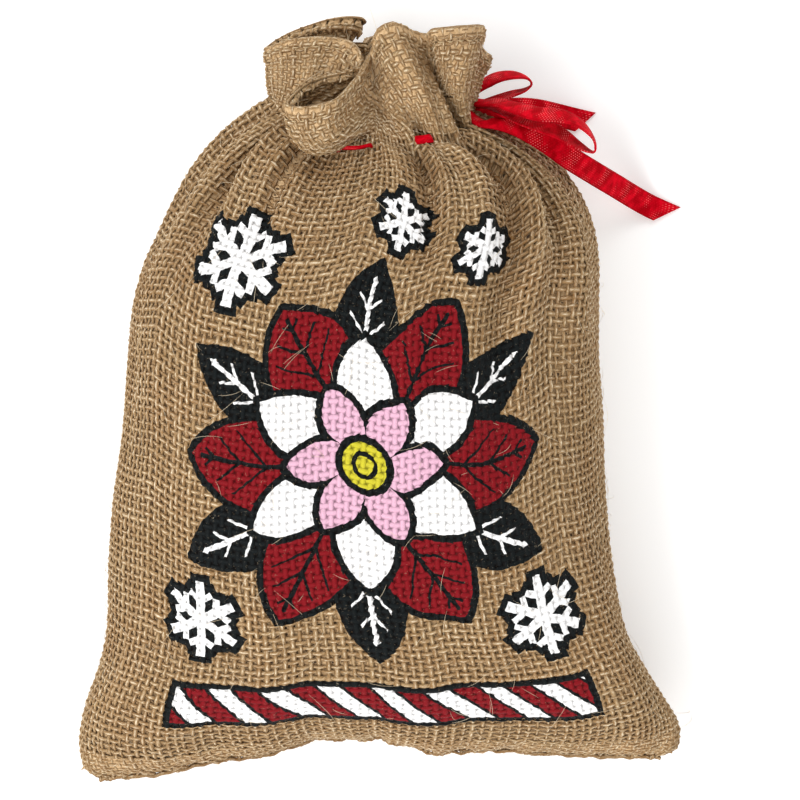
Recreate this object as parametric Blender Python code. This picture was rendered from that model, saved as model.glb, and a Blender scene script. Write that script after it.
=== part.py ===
"""A small hessian sack, filled, lying on its back, its neck gathered by a red satin ribbon tied in a bow.

The mouth points along +Y and the front faces up (+Z). All sizes below are in millimetres. The cloth is
one closed surface: level sections from the bottom seam up to the tie, then a pleated ruffle with a thin
wall that opens at the hem. Lines that run down the cloth, one for each fold, join the sections.
"""

import math

import bmesh
import bpy
import numpy as np

MM = 0.001

# Sections of the cloth from the bottom seam (first) to the tie (last). A section's left and right ends
# are on the side seams; seam, crown and back are heights over the floor; tilt is how far the crown
# leans towards the bottom and the back towards the mouth; square is 1 for an ellipse, less for a box.
SECTION_COLUMNS = ("left_y", "left_x", "right_y", "right_x", "seam", "crown", "back", "tilt", "square")
SECTIONS = (
    (-103.2, -76.0, -97.2, 76.8, 13.0, 14.0, 12.0, 0.0, 1.00),
    (-101.6, -80.4, -95.9, 80.9, 13.5, 23.0, 7.5, 0.0, 0.96),
    (-97.4, -82.0, -92.2, 82.3, 14.5, 33.0, 3.0, 0.0, 0.93),
    (-91.2, -82.1, -87.2, 82.1, 16.0, 41.5, 0.0, 0.0, 0.91),
    (-82.4, -79.8, -80.7, 79.2, 18.5, 49.0, -3.0, 0.0, 0.90),
    (-71.6, -75.4, -71.0, 73.5, 21.5, 56.0, -6.0, 0.0, 0.89),
    (-60.8, -72.9, -60.5, 68.0, 24.0, 61.5, -8.0, 0.0, 0.88),
    (-43.0, -72.4, -43.0, 63.7, 26.5, 67.0, -9.0, 0.0, 0.88),
    (-26.0, -71.7, -26.0, 61.6, 28.0, 70.0, -9.0, 0.0, 0.88),
    (-8.0, -69.7, -8.0, 60.4, 28.5, 71.0, -9.0, 0.0, 0.88),
    (10.0, -68.5, 10.0, 58.9, 28.5, 71.0, -8.5, -1.0, 0.88),
    (25.0, -67.2, 25.0, 58.6, 28.5, 70.0, -7.5, -3.0, 0.89),
    (37.0, -64.2, 38.0, 58.6, 28.5, 68.5, -6.0, -5.5, 0.90),
    (47.0, -59.6, 47.0, 57.4, 28.0, 66.0, -4.0, -8.0, 0.92),
    (55.0, -55.4, 55.0, 54.4, 28.0, 63.0, -1.5, -9.0, 0.94),
    (62.0, -50.8, 61.5, 50.2, 28.0, 59.5, 1.0, -9.5, 0.96),
    (68.0, -45.6, 66.5, 45.0, 28.5, 56.0, 4.0, -9.5, 0.98),
    (73.0, -40.0, 70.0, 39.0, 29.0, 52.5, 7.5, -9.5, 1.00),
    (77.5, -33.5, 72.8, 32.0, 30.0, 49.5, 11.0, -9.5, 1.00),
    (81.5, -27.5, 75.5, 25.5, 31.0, 47.0, 14.5, -9.5, 1.00),
)
TIE = len(SECTIONS) - 1

# The bottom edge isn't straight: how far each place along it stands off the line between the corners.
BOTTOM_EDGE = (
    (-82.0, 0.0),
    (-60.0, 0.8),
    (-46.0, 3.6),
    (-30.0, 4.8),
    (-18.0, 8.6),
    (0.0, 8.0),
    (16.0, 3.4),
    (30.0, 4.0),
    (46.0, 2.2),
    (62.0, 1.0),
    (82.0, 0.0),
)
EDGE_REACH = 7.0  # sections over which that shape of the edge dies out

# Lines down the cloth, from the right seam over the front to the left seam and round the back.
# body and tie are the angles round the sack (0 right, 90 front); depth is the share of the neck's
# radius that is left at the tie; foot is the section where the fold starts; x, y, z is the hem;
# belly and droop push the ruffle out, and down over the tie, half-way to the hem.
FOLD_COLUMNS = ("body", "tie", "depth", "foot", "x", "y", "z", "belly", "droop")
FOLDS = (
    (-8.0, -24.0, 1.00, 14.0, 27.6, 91.6, 23.0, 0.0, 0.0),
    (-1.0, -15.0, 1.00, 14.0, 29.8, 93.0, 28.5, 0.0, 0.0),
    (6.0, -8.0, 0.88, 15.0, 26.8, 95.6, 34.0, 0.0, 0.0),
    (14.0, -2.0, 1.00, 13.0, 28.4, 99.4, 42.0, 0.0, 0.0),
    (24.0, 5.0, 1.02, 12.5, 22.4, 101.0, 49.5, 0.0, 0.0),
    (32.0, 11.0, 0.96, 12.5, 14.4, 99.8, 50.5, 0.0, 0.0),
    (38.0, 15.0, 0.84, 12.0, 13.9, 98.6, 45.0, 0.0, 0.0),
    (42.0, 19.0, 0.70, 12.0, 13.4, 97.8, 38.6, 0.0, 0.0),
    (53.0, 33.0, 1.02, 12.5, 9.0, 100.6, 39.6, 0.0, 0.0),
    (64.0, 49.0, 1.05, 13.0, 4.5, 102.2, 43.5, 2.0, 0.0),
    (74.0, 60.0, 0.84, 13.5, 1.4, 101.6, 44.4, 2.0, 0.0),
    (82.0, 72.0, 1.03, 13.5, -1.2, 98.4, 41.6, 2.0, 2.0),
    (92.0, 88.0, 0.72, 14.5, -2.2, 93.0, 36.6, 0.0, 3.0),
    (101.0, 101.0, 0.96, 15.0, -5.6, 88.2, 46.0, 3.0, 5.0),
    (109.0, 111.0, 1.02, 14.0, -10.5, 82.0, 54.0, 5.0, 7.0),
    (117.0, 121.0, 1.02, 14.0, -18.0, 78.6, 57.0, 5.0, 6.0),
    (124.0, 130.0, 1.03, 13.0, -24.0, 79.0, 52.0, 3.0, 3.0),
    (132.0, 140.0, 1.03, 11.5, -19.0, 84.0, 45.5, 1.0, 0.0),
    (144.0, 150.0, 0.70, 12.5, -9.6, 90.0, 38.6, 0.0, 0.0),
    (156.0, 159.0, 0.98, 13.0, -14.6, 97.0, 37.4, 1.0, 0.0),
    (167.0, 169.0, 1.02, 14.0, -24.4, 97.0, 34.6, 1.0, 0.0),
    (178.0, 180.0, 1.02, 14.0, -30.4, 95.0, 28.0, 1.0, 0.0),
    (189.0, 192.0, 1.00, 14.0, -24.0, 99.4, 22.0, 0.0, 0.0),
    (198.0, 202.0, 0.94, 14.0, -12.0, 102.6, 21.6, 0.0, 0.0),
    (207.0, 211.0, 0.68, 14.0, -4.8, 99.6, 19.6, 0.0, 0.0),
    (216.0, 220.0, 0.96, 13.5, -13.2, 98.0, 15.6, 1.0, 0.0),
    (225.0, 231.0, 1.00, 13.5, -16.6, 98.0, 10.6, 1.0, 0.0),
    (234.0, 240.0, 1.00, 13.5, -11.2, 99.0, 4.8, 1.0, 0.0),
    (245.0, 249.0, 0.68, 14.0, -5.0, 97.4, 14.4, 0.0, 0.0),
    (259.0, 261.0, 1.02, 13.5, -2.0, 100.0, 5.5, 1.0, 0.0),
    (272.0, 273.0, 1.02, 13.5, 5.5, 100.4, 5.0, 1.0, 0.0),
    (287.0, 285.0, 0.66, 14.0, 7.6, 96.8, 15.0, 0.0, 0.0),
    (301.0, 297.0, 1.02, 13.5, 14.0, 97.6, 6.5, 1.0, 0.0),
    (316.0, 309.0, 1.00, 13.5, 20.5, 96.4, 10.0, 1.0, 0.0),
    (335.0, 326.0, 0.68, 14.0, 17.0, 93.5, 20.0, 0.0, 0.0),
)
STEPS_PER_FOLD = 3

RIBBON_WIDTH = 6.4
RIBBON_THICKNESS = 1.0
# Each run of the ribbon from the knot on: x, y, z and roll in degrees (0 flat, 90 on its edge).
RIBBONS = {
    "ribbon_loop_top": (
        (25.8, 83.9, 21.0, 60.0),
        (29.2, 86.6, 20.2, 60.0),
        (32.6, 88.2, 20.6, 62.0),
        (36.6, 88.7, 20.8, 68.0),
        (40.0, 88.0, 20.8, 80.0),
        (41.4, 86.3, 20.8, 90.0),
        (39.8, 84.8, 20.8, 100.0),
        (36.2, 83.6, 21.0, 108.0),
        (32.2, 82.2, 21.0, 112.0),
        (27.9, 80.9, 21.4, 115.0),
    ),
    "ribbon_tail_upper": (
        (26.8, 79.2, 19.3, 35.0),
        (32.6, 79.6, 16.0, 30.0),
        (38.0, 80.2, 13.2, 25.0),
        (43.5, 79.9, 9.5, 15.0),
        (49.0, 78.9, 5.2, 8.0),
        (53.4, 78.0, 2.0, 3.0),
        (57.0, 77.2, 1.0, 0.0),
    ),
    "ribbon_loop_low": (
        (28.2, 80.8, 26.9, 68.0),
        (32.4, 80.6, 30.6, 66.0),
        (37.0, 78.9, 34.8, 56.0),
        (42.5, 77.0, 38.8, 50.0),
        (48.6, 76.4, 40.4, 54.0),
        (53.6, 74.4, 40.4, 66.0),
        (57.4, 70.4, 40.0, 82.0),
        (57.6, 66.8, 39.4, 93.0),
        (54.0, 68.2, 39.0, 110.0),
        (48.2, 72.0, 38.4, 126.0),
        (42.6, 74.2, 37.6, 128.0),
    ),
    "ribbon_tail_lower": (
        (27.8, 75.2, 32.3, 62.0),
        (31.4, 74.7, 34.0, 60.0),
        (35.6, 73.9, 34.9, 48.0),
        (40.2, 72.4, 35.0, 28.0),
        (45.8, 69.4, 34.2, 10.0),
        (51.8, 65.4, 31.0, -2.0),
        (58.4, 61.9, 23.5, -5.0),
        (64.6, 58.9, 14.5, -4.0),
        (70.4, 56.0, 6.4, -3.0),
        (75.0, 53.8, 1.8, -1.0),
        (79.6, 51.8, 0.8, 0.0),
    ),
}
TAIL_CUT = {"ribbon_tail_upper": 4.6, "ribbon_tail_lower": 5.6}  # how much longer one edge is at the cut end
RINGS_PER_SPAN = 4
KNOT = (24.1, 81.3, 21.0)
KNOT_HALF = (2.6, 2.8, 2.4)
STITCH_WIDTH = 2.4
STITCH_THICKNESS = 0.8
STITCH_LIFT = 0.9
STITCH_REACH = 0.4  # how far down the cloth, in sections, the stitch takes its lean from
# Where the ribbon shows between two places round the gathers: first fold, last fold.
STITCHES = ((9.4, 10.6), (11.9, 12.7), (16.8, 17.4), (20.4, 21.4), (25.2, 26.2), (29.0, 30.0), (32.0, 33.0))

BODY_ROWS = (0, 1, 2, 3, 4, 5, 6, 6.5, 7, 7.5, 8, 8.5, 9, 9.5, 10, 10.5, 11, 11.5, 12, 12.5, 13, 13.5,
             14, 14.5, 15, 15.5, 16, 16.5, 17, 17.5, 18, 18.5, 19)
RUFFLE_ROWS = (0.12, 0.25, 0.4, 0.55, 0.7, 0.85, 1.0)
# The mouth's inside, from the turned hem down to where the gathers close it: how far up the ruffle each
# row is, and how thick the cloth is there.
WALL_ROWS = ((1.0, 1.7), (0.85, 1.6), (0.7, 1.2), (0.55, 1.1), (0.42, 1.1))


def smooth(values, at):
    """The value at a place between rows, on a curve through the rows (Catmull-Rom)."""
    values = np.asarray(values, float)
    last = len(values) - 1
    low = min(int(at), last - 1)
    part = at - low
    a, b, c, d = (values[min(max(low + step, 0), last)] for step in (-1, 0, 1, 2))
    return b + 0.5 * part * (c - a + part * (2 * a - 5 * b + 4 * c - d + part * (3 * (b - c) + d - a)))


def round_loop(values, at, period=0.0):
    """The same on a closed row of values, which may grow by period each time round."""
    count = len(values)
    low = math.floor(at)
    part = at - low
    a, b, c, d = (values[(low + step) % count] + period * ((low + step) // count) for step in (-1, 0, 1, 2))
    return b + 0.5 * part * (c - a + part * (2 * a - 5 * b + 4 * c - d + part * (3 * (b - c) + d - a)))


def ease(part):
    part = min(max(part, 0.0), 1.0)
    return part * part * (3 - 2 * part)


def section_at(row):
    return dict(zip(SECTION_COLUMNS, smooth(SECTIONS, row)))


def power(value, exponent):
    return math.copysign(abs(value) ** exponent, value)


def on_section(row, angle):
    """The point of a smooth section at this angle, before its folds."""
    s = section_at(row)
    across = power(math.cos(math.radians(angle)), s["square"])
    up = power(math.sin(math.radians(angle)), s["square"])
    x = (s["left_x"] + s["right_x"]) / 2 + across * (s["right_x"] - s["left_x"]) / 2
    y = (s["left_y"] + s["right_y"]) / 2 + across * (s["right_y"] - s["left_y"]) / 2 + up * s["tilt"]
    z = s["seam"] + up * (s["crown"] - s["seam"] if up > 0 else s["seam"] - s["back"])
    edge = np.interp(x, *zip(*BOTTOM_EDGE))
    y += edge * (1 - ease(row / EDGE_REACH))
    return np.array((x, y, z))


def centre_of(row):
    s = section_at(row)
    return np.array(((s["left_x"] + s["right_x"]) / 2, (s["left_y"] + s["right_y"]) / 2, (s["crown"] + s["back"]) / 2))


def cloth_below_tie(row):
    """One closed section with its folds, a point for each column."""
    lines = [dict(zip(FOLD_COLUMNS, line)) for line in FOLDS]
    turn = ease((row - 10) / (TIE - 10))
    angles = [line["body"] + turn * (line["tie"] - line["body"]) for line in lines]
    depths = [1 - (1 - line["depth"]) * ease((row - line["foot"]) / (TIE - line["foot"])) for line in lines]
    middle = centre_of(row)
    points = []
    for column in range(len(FOLDS) * STEPS_PER_FOLD):
        at = column / STEPS_PER_FOLD
        angle = round_loop(angles, at, 360.0)
        depth = round_loop(depths, at)
        point = middle + depth * (on_section(row, angle) - middle)
        point[2] = max(point[2], 0.0)
        points.append(point)
    return points


def hem_points():
    lines = [dict(zip(FOLD_COLUMNS, line)) for line in FOLDS]
    corners = [np.array((line["x"], line["y"], line["z"])) for line in lines]
    return [round_loop(corners, column / STEPS_PER_FOLD) for column in range(len(FOLDS) * STEPS_PER_FOLD)]


def ruffle_row(tie, hem, part):
    """A row of the ruffle between the tie and the hem, bellied out and drooping where the table says."""
    lines = [dict(zip(FOLD_COLUMNS, line)) for line in FOLDS]
    bellies = [line["belly"] for line in lines]
    droops = [line["droop"] for line in lines]
    middle = centre_of(TIE)
    bow = 4 * part * (1 - part)
    points = []
    for column, (low, high) in enumerate(zip(tie, hem)):
        at = column / STEPS_PER_FOLD
        out = low - middle
        out /= np.linalg.norm(out)
        bulge = round_loop(bellies, at) * out - round_loop(droops, at) * np.array((0, 1, 0))
        points.append(low + part * (high - low) + bow * bulge)
    return points


def unit(vectors):
    return vectors / np.linalg.norm(vectors, axis=-1)[..., None]


def inside_of(tie, hem, part, wall):
    """The inside of a ruffle row: each point moved off the cloth's face by the wall's thickness."""
    low, row, high = (np.array(ruffle_row(tie, hem, at)) for at in (part - 0.1, part, min(part + 0.1, 1.0)))
    step = unit(np.roll(row, -1, axis=0) - row)
    into = np.cross(step + np.roll(step, 1, axis=0), high - low)
    return row + wall * unit(into)


def close_bottom(bm, edge):
    """The bottom seam: a narrow strip that joins the front and back edges, which differ in their columns."""
    right, left = (min(range(len(edge)), key=lambda i: side * edge[i].co.x) for side in (-1, 1))
    front = [edge[i] for i in range(right, left + 1)]
    back = [edge[i % len(edge)] for i in range(right + len(edge), left - 1, -1)]
    while len(front) > 1 or len(back) > 1:
        step_front = len(back) == 1 or (len(front) > 1 and front[1].co.x > back[1].co.x)
        chain = front if step_front else back
        corners = {front[0], chain[1], back[0]}
        if len(corners) == 3:
            bm.faces.new((front[0], chain[1], back[0]))
        del chain[0]


def close_mouth(bm, ring):
    """The bottom of the mouth: each gather is closed side to side, then the space between the hollows."""
    depths = [line[FOLD_COLUMNS.index("depth")] for line in FOLDS]
    count = len(depths)
    hollows = [i for i in range(count) if depths[i] < min(depths[i - 1], depths[(i + 1) % count])]
    for first, last in zip(hollows, hollows[1:] + [hollows[0] + count]):
        gather = [ring[i % len(ring)] for i in range(first * STEPS_PER_FOLD, last * STEPS_PER_FOLD + 1)]
        while len(gather) > 2:
            bm.faces.new(gather[:2] + gather[-2:] if len(gather) > 3 else gather)
            gather = gather[1:-1]
    bm.faces.new([ring[i * STEPS_PER_FOLD] for i in hollows])


def build_sack():
    rows = [cloth_below_tie(row) for row in BODY_ROWS]
    tie, hem = rows[-1], hem_points()
    rows += [ruffle_row(tie, hem, part) for part in RUFFLE_ROWS]
    rows += [inside_of(tie, hem, part, wall) for part, wall in WALL_ROWS]
    bm = bmesh.new()
    loops = [[bm.verts.new(point * MM) for point in row] for row in rows]
    count = len(loops[0])
    for low, high in zip(loops, loops[1:]):
        for i in range(count):
            j = (i + 1) % count
            bm.faces.new((low[i], low[j], high[j], high[i]))
    close_bottom(bm, loops[0])
    close_mouth(bm, loops[-1])
    bmesh.ops.triangulate(bm, faces=bm.faces)
    bmesh.ops.recalc_face_normals(bm, faces=bm.faces)
    mesh = bpy.data.meshes.new("sack")
    bm.to_mesh(mesh)
    bm.free()
    sack = bpy.data.objects.new("sack", mesh)
    bpy.context.scene.collection.objects.link(sack)
    mesh.shade_smooth()
    return sack


def strip(name, points, across, thickness):
    """A flat ribbon through these points; across is half its width, as a vector at each point."""
    ways = np.gradient(points, axis=0)
    bm = bmesh.new()
    rings = []
    for point, side, way in zip(points, across, ways):
        face = np.cross(side, way)
        face *= thickness / 2 / np.linalg.norm(face)
        corners = (point + side + face, point - side + face, point - side - face, point + side - face)
        rings.append([bm.verts.new(corner * MM) for corner in corners])
    for low, high in zip(rings, rings[1:]):
        for i in range(4):
            bm.faces.new((low[i], low[(i + 1) % 4], high[(i + 1) % 4], high[i]))
    bm.faces.new(reversed(rings[0]))
    bm.faces.new(rings[-1])
    bmesh.ops.recalc_face_normals(bm, faces=bm.faces)
    mesh = bpy.data.meshes.new(name)
    bm.to_mesh(mesh)
    bm.free()
    made = bpy.data.objects.new(name, mesh)
    bpy.context.scene.collection.objects.link(made)
    return made


def build_run(name, route):
    """A run of the bow's ribbon: a strip that rolls as its route says, cut on a slant at a free end."""
    spans = len(route) - 1
    curve = np.array([smooth(route, step / RINGS_PER_SPAN) for step in range(spans * RINGS_PER_SPAN + 1)])
    points, rolls = curve[:, :3], np.radians(curve[:, 3:])
    ways = np.gradient(points, axis=0)
    ways /= np.linalg.norm(ways, axis=1)[:, None]
    flat = np.cross(ways, (0, 0, 1))
    flat /= np.linalg.norm(flat, axis=1)[:, None]
    across = (np.cos(rolls) * flat + np.sin(rolls) * np.cross(flat, ways)) * RIBBON_WIDTH / 2
    for back in range(RINGS_PER_SPAN):
        slant = TAIL_CUT.get(name, 0.0) / 2 * (1 - back / RINGS_PER_SPAN)
        across[-1 - back] -= slant * ways[-1]
    return strip(name, points, across, RIBBON_THICKNESS)


def build_knot():
    """The knot, a small flattened ball."""
    bm = bmesh.new()
    bmesh.ops.create_icosphere(bm, subdivisions=2, radius=MM)
    for vert in bm.verts:
        vert.co = [(centre + half * at / MM) * MM for centre, half, at in zip(KNOT, KNOT_HALF, vert.co)]
    mesh = bpy.data.meshes.new("ribbon_knot")
    bm.to_mesh(mesh)
    bm.free()
    made = bpy.data.objects.new("ribbon_knot", mesh)
    bpy.context.scene.collection.objects.link(made)
    return made


def build_stitch(name, first, last):
    """A short run over the gathers: it lies on the cloth's ridges and goes straight over its hollows."""
    tie, middle = cloth_below_tie(TIE), centre_of(TIE)
    below, above = cloth_below_tie(TIE - STITCH_REACH), ruffle_row(tie, hem_points(), STITCH_REACH / 5)
    shares = np.linspace(0, 1, 7)
    places = (first + shares * (last - first)) * STEPS_PER_FOLD
    low, high = (np.array([round_loop(row, place) for place in places]) for row in (below, above))
    cloth = (low + high) / 2
    chord = cloth[0] + shares[:, None] * (cloth[-1] - cloth[0])
    hollow = np.linalg.norm(chord - middle, axis=1) > np.linalg.norm(cloth - middle, axis=1)
    points = np.where(hollow[:, None], chord, cloth)
    out = unit(np.cross(np.gradient(points, axis=0), high - low))
    out *= np.sign(np.sum(out * (points - middle), axis=1))[:, None]
    return strip(name, points + STITCH_LIFT * out, unit(high - low) * STITCH_WIDTH / 2, STITCH_THICKNESS)


def build_ribbon():
    made = [build_knot()] + [build_run(name, route) for name, route in RIBBONS.items()]
    for number, (first, last) in enumerate(STITCHES, 1):
        made.append(build_stitch(f"ribbon_stitch_{number}", first, last))
    return made


def material(name, colour, roughness):
    made = bpy.data.materials.new(name)
    made.use_nodes = True
    shader = made.node_tree.nodes["Principled BSDF"]
    shader.inputs["Base Color"].default_value = (*colour, 1)
    shader.inputs["Roughness"].default_value = roughness
    return made


for old in list(bpy.data.objects):
    bpy.data.objects.remove(old)
jute = material("jute", (0.36, 0.24, 0.12), 0.9)
satin = material("red satin", (0.55, 0.01, 0.02), 0.35)
sack = build_sack()
sack.data.materials.append(jute)
for ribbon in build_ribbon():
    ribbon.data.materials.append(satin)
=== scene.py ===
"""The looks of a small hessian sack, filled and lying on its back, its neck gathered by a red satin ribbon.

The mouth points along +Y and the printed front faces up. The tables are in millimetres. The cloth is
woven here yarn by yarn over nearly the same surface as the CAD sack's, with a lining under the yarns.
"""

import math

import bmesh
import bpy
import numpy as np
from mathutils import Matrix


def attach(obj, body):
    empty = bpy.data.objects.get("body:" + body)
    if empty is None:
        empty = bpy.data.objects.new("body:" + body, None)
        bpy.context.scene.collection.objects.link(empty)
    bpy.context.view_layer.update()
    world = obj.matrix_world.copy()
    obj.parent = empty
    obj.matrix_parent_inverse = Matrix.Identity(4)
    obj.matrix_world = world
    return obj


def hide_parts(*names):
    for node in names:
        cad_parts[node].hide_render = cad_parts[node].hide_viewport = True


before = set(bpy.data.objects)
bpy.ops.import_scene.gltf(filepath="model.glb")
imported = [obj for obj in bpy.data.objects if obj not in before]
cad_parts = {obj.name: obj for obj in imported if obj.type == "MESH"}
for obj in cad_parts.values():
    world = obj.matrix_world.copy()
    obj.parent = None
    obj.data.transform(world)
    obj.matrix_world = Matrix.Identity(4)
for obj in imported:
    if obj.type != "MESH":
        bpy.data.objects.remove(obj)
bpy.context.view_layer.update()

MM = 0.001
dice = np.random.default_rng(20260)

# ---------------------------------------------------------------- the sack's own measures, as in the CAD

SECTION_COLUMNS = ("left_y", "left_x", "right_y", "right_x", "seam", "crown", "back", "tilt", "square")
SECTIONS = (
    (-103.2, -76.0, -97.2, 76.8, 13.0, 14.0, 12.0, 0.0, 1.00),
    (-101.6, -80.4, -95.9, 80.9, 13.5, 23.0, 7.5, 0.0, 0.96),
    (-97.4, -82.0, -92.2, 82.3, 14.5, 33.0, 3.0, 0.0, 0.93),
    (-91.2, -82.1, -87.2, 82.1, 16.0, 41.5, 0.0, 0.0, 0.91),
    (-82.4, -79.8, -80.7, 79.2, 18.5, 49.0, -3.0, 0.0, 0.90),
    (-71.6, -75.4, -71.0, 73.5, 21.5, 56.0, -6.0, 0.0, 0.89),
    (-60.8, -72.9, -60.5, 68.0, 24.0, 61.5, -8.0, 0.0, 0.88),
    (-43.0, -72.4, -43.0, 63.7, 26.5, 67.0, -9.0, 0.0, 0.88),
    (-26.0, -71.7, -26.0, 61.6, 28.0, 70.0, -9.0, 0.0, 0.88),
    (-8.0, -69.7, -8.0, 60.4, 28.5, 71.0, -9.0, 0.0, 0.88),
    (10.0, -68.5, 10.0, 58.9, 28.5, 71.0, -8.5, -1.0, 0.88),
    (25.0, -67.2, 25.0, 58.6, 28.5, 70.0, -7.5, -3.0, 0.89),
    (37.0, -64.2, 38.0, 58.6, 28.5, 68.5, -6.0, -5.5, 0.90),
    (47.0, -59.6, 47.0, 57.4, 28.0, 66.0, -4.0, -8.0, 0.92),
    (55.0, -55.4, 55.0, 54.4, 28.0, 63.0, -1.5, -9.0, 0.94),
    (62.0, -50.8, 61.5, 50.2, 28.0, 59.5, 1.0, -9.5, 0.96),
    (68.0, -45.6, 66.5, 45.0, 28.5, 56.0, 4.0, -9.5, 0.98),
    (73.0, -40.0, 70.0, 39.0, 29.0, 52.5, 7.5, -9.5, 1.00),
    (77.5, -33.5, 72.8, 32.0, 30.0, 49.5, 11.0, -9.5, 1.00),
    (81.5, -27.5, 75.5, 25.5, 31.0, 47.0, 14.5, -9.5, 1.00),
)
TIE = len(SECTIONS) - 1
BOTTOM_EDGE = (
    (-82.0, 0.0), (-60.0, 0.8), (-46.0, 3.6), (-30.0, 4.8), (-18.0, 8.6), (0.0, 8.0),
    (16.0, 3.4), (30.0, 4.0), (46.0, 2.2), (62.0, 1.0), (82.0, 0.0),
)
EDGE_REACH = 7.0
FOLD_COLUMNS = ("body", "tie", "depth", "foot", "x", "y", "z", "belly", "droop")
FOLDS = (
    (-8.0, -24.0, 1.00, 14.0, 27.6, 91.6, 23.0, 0.0, 0.0),
    (-1.0, -15.0, 1.00, 14.0, 29.8, 93.0, 28.5, 0.0, 0.0),
    (6.0, -8.0, 0.88, 15.0, 26.8, 95.6, 34.0, 0.0, 0.0),
    (14.0, -2.0, 1.00, 13.0, 28.4, 99.4, 42.0, 0.0, 0.0),
    (24.0, 5.0, 1.02, 12.5, 22.4, 99.2, 49.5, 0.0, 0.0),
    (32.0, 11.0, 0.96, 12.5, 14.4, 98.2, 50.5, 0.0, 0.0),
    (38.0, 15.0, 0.84, 12.0, 13.6, 97.4, 45.0, 0.0, 0.0),
    (42.0, 19.0, 0.70, 12.0, 13.4, 97.8, 38.6, 0.0, 0.0),
    (53.0, 33.0, 1.02, 12.5, 9.4, 98.8, 39.8, 0.0, 0.0),
    (64.0, 49.0, 1.05, 13.0, 4.8, 100.4, 43.5, 2.0, 0.0),
    (74.0, 60.0, 0.84, 13.5, 1.2, 99.6, 44.4, 2.0, 0.0),
    (82.0, 72.0, 1.03, 13.5, -0.8, 96.8, 41.6, 2.0, 2.0),
    (92.0, 88.0, 0.72, 14.5, -2.2, 93.0, 36.6, 0.0, 3.0),
    (101.0, 101.0, 0.96, 15.0, -5.6, 86.2, 46.0, 3.0, 5.0),
    (109.0, 111.0, 1.02, 14.0, -10.5, 80.0, 54.0, 5.0, 7.0),
    (117.0, 121.0, 1.02, 14.0, -18.0, 77.2, 57.0, 5.0, 6.0),
    (124.0, 130.0, 1.03, 13.0, -24.4, 78.4, 52.0, 3.0, 3.0),
    (132.0, 140.0, 1.03, 11.5, -19.0, 84.8, 45.5, 1.0, 0.0),
    (144.0, 150.0, 0.70, 12.5, -5.6, 89.2, 39.4, 0.0, 0.0),
    (156.0, 159.0, 0.98, 13.0, -8.0, 96.2, 37.2, 1.0, 0.0),
    (167.0, 169.0, 1.02, 14.0, -21.0, 97.2, 36.0, 1.0, 0.0),
    (178.0, 180.0, 1.02, 14.0, -30.4, 95.0, 28.0, 1.0, 0.0),
    (189.0, 192.0, 1.00, 14.0, -24.0, 99.4, 26.0, 0.0, 0.0),
    (198.0, 202.0, 0.94, 14.0, -12.0, 103.4, 26.0, 0.0, 0.0),
    (207.0, 211.0, 0.68, 14.0, -4.4, 103.2, 23.5, 0.0, 0.0),
    (216.0, 220.0, 0.96, 13.5, -12.6, 99.4, 15.6, 1.0, 0.0),
    (225.0, 231.0, 1.00, 13.5, -16.6, 98.0, 10.6, 1.0, 0.0),
    (234.0, 240.0, 1.00, 13.5, -11.2, 99.0, 4.8, 1.0, 0.0),
    (245.0, 249.0, 0.68, 14.0, -5.0, 97.4, 14.4, 0.0, 0.0),
    (259.0, 261.0, 1.02, 13.5, -2.0, 100.0, 5.5, 1.0, 0.0),
    (272.0, 273.0, 1.02, 13.5, 5.5, 100.4, 5.0, 1.0, 0.0),
    (287.0, 285.0, 0.66, 14.0, 7.6, 96.8, 15.0, 0.0, 0.0),
    (301.0, 297.0, 1.02, 13.5, 14.0, 97.6, 6.5, 1.0, 0.0),
    (316.0, 309.0, 1.00, 13.5, 20.5, 96.4, 10.0, 1.0, 0.0),
    (335.0, 326.0, 0.68, 14.0, 17.0, 93.5, 20.0, 0.0, 0.0),
)
FOLD = {name: np.array(values) for name, values in zip(FOLD_COLUMNS, zip(*FOLDS))}

RIBBON_WIDTH = 6.4
KNOT = (24.1, 81.3, 21.0)
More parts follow.
